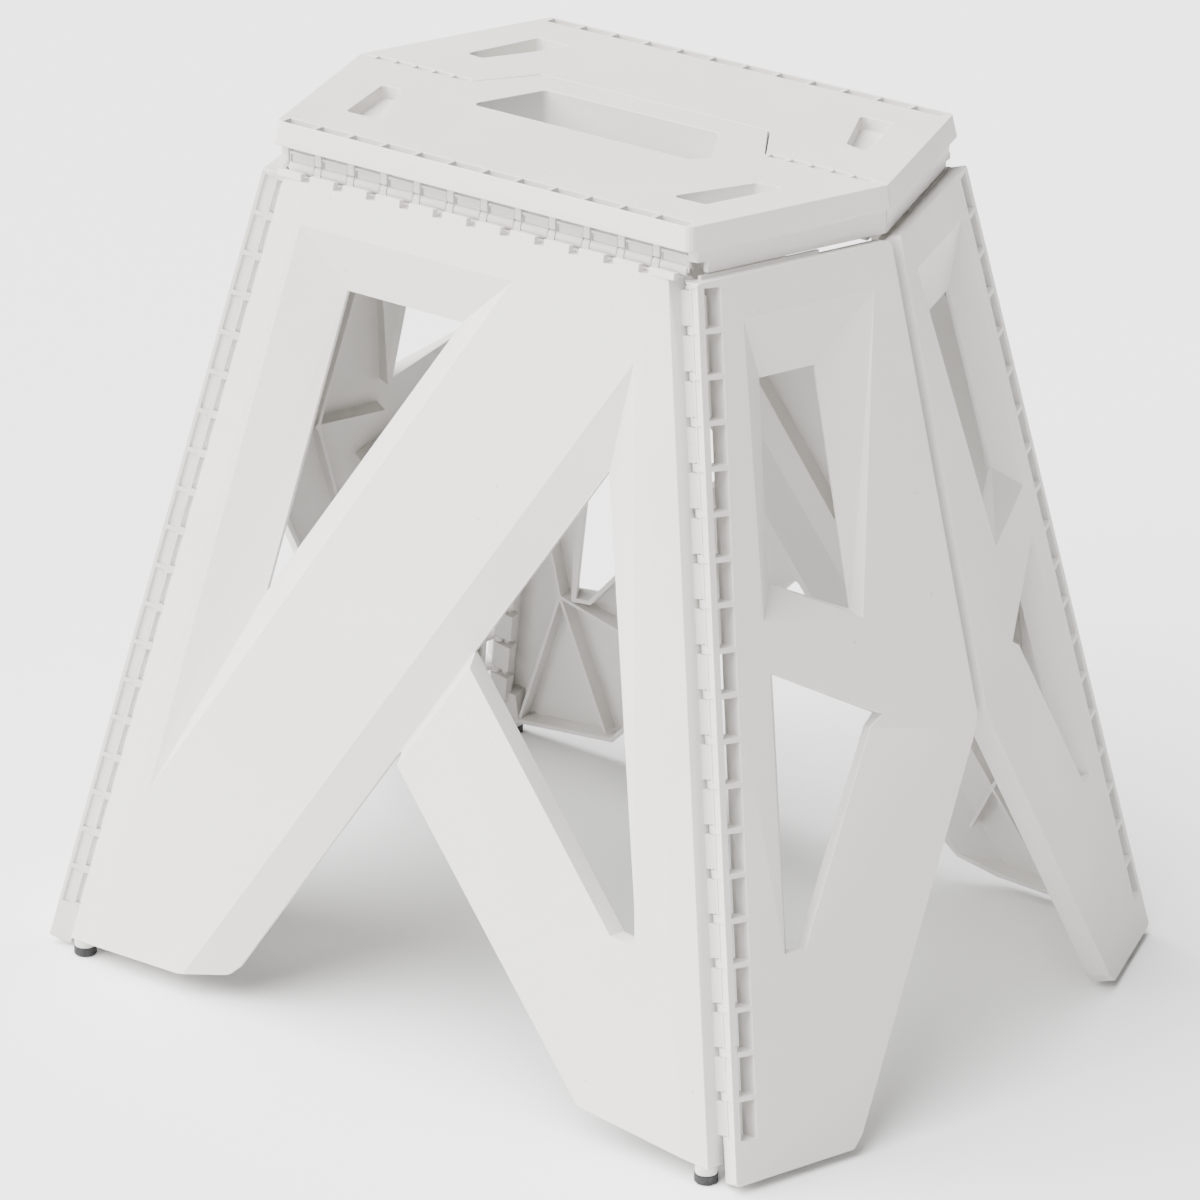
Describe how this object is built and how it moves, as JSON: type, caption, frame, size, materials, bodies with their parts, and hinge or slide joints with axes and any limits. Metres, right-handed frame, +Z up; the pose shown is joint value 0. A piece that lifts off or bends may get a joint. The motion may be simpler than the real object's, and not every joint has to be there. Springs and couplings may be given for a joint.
{
  "type": "folding step stool",
  "caption": "Folding step stool with a six-sided seat in hinged halves, a hand slot, ribbed panels with windows and rubber feet.",
  "frame": {"origin": "on the floor, below the middle of the seat", "axes": "+X along the seat's long side, +Y from the front panel to the back panel, +Z up"},
  "size_m": [0.4836, 0.3752, 0.45],
  "materials": {
    "white_plastic": "fine matt moulded texture",
    "steel_pin": "drawn wire",
    "rubber_foot": "matt"
  },
  "bodies": {
    "front_panel": {"front_panel": "white_plastic", "front_top_pin": "steel_pin", "right_front_corner_pin": "steel_pin", "left_front_corner_pin": "steel_pin", "foot_front_right": "rubber_foot", "foot_front_left": "rubber_foot"},
    "top_front": {"top_front": "white_plastic", "centre_pin_left": "steel_pin", "centre_pin_right": "steel_pin"},
    "top_back": {"top_back": "white_plastic"},
    "back_panel": {"back_panel": "white_plastic", "back_top_pin": "steel_pin", "right_back_corner_pin": "steel_pin", "left_back_corner_pin": "steel_pin", "foot_back_right": "rubber_foot", "foot_back_left": "rubber_foot"},
    "right_front_end": {"right_front_end": "white_plastic"},
    "right_back_end": {"right_back_end": "white_plastic"},
    "left_front_end": {"left_front_end": "white_plastic"},
    "left_back_end": {"left_back_end": "white_plastic"}
  },
  "joints": [
    {"name": "front_fold", "type": "hinge", "parent": "front_panel", "child": "top_front", "pos_m": [0, -0.1043, 0.4259], "axis": [1, 0, 0], "range_deg": [0, 80.3]},
    {"name": "centre_fold", "type": "hinge", "parent": "top_front", "child": "top_back", "pos_m": [0, 0, 0.4224], "axis": [-1, 0, 0], "range_deg": [0, 180]},
    {"name": "back_fold", "type": "hinge", "parent": "top_back", "child": "back_panel", "pos_m": [0, 0.1043, 0.4259], "axis": [1, 0, 0], "range_deg": [0, 80.3]},
    {"name": "right_front_corner", "type": "hinge", "parent": "front_panel", "child": "right_front_end", "pos_m": [0.12196, -0.1043, 0.4259], "axis": [0.2011, -0.1652, -0.9655], "range_deg": [0, 70.56]},
    {"name": "right_back_corner", "type": "hinge", "parent": "back_panel", "child": "right_back_end", "pos_m": [0.12196, 0.1043, 0.4259], "axis": [-0.2011, -0.1652, 0.9655], "range_deg": [0, 70.56]},
    {"name": "left_front_corner", "type": "hinge", "parent": "front_panel", "child": "left_front_end", "pos_m": [-0.12196, -0.1043, 0.4259], "axis": [0.2011, 0.1652, 0.9655], "range_deg": [0, 70.56]},
    {"name": "left_back_corner", "type": "hinge", "parent": "back_panel", "child": "left_back_end", "pos_m": [-0.12196, 0.1043, 0.4259], "axis": [-0.2011, 0.1652, -0.9655], "range_deg": [0, 70.56]}
  ],
  "couplings": [
    {"joint": "front_fold", "follows": "centre_fold", "ratio": 0.44606},
    {"joint": "back_fold", "follows": "centre_fold", "ratio": 0.44606},
    {"joint": "right_front_corner", "follows": "centre_fold", "ratio": 0.39195},
    {"joint": "right_back_corner", "follows": "centre_fold", "ratio": 0.39195},
    {"joint": "left_front_corner", "follows": "centre_fold", "ratio": 0.39195},
    {"joint": "left_back_corner", "follows": "centre_fold", "ratio": 0.39195}
  ]
}
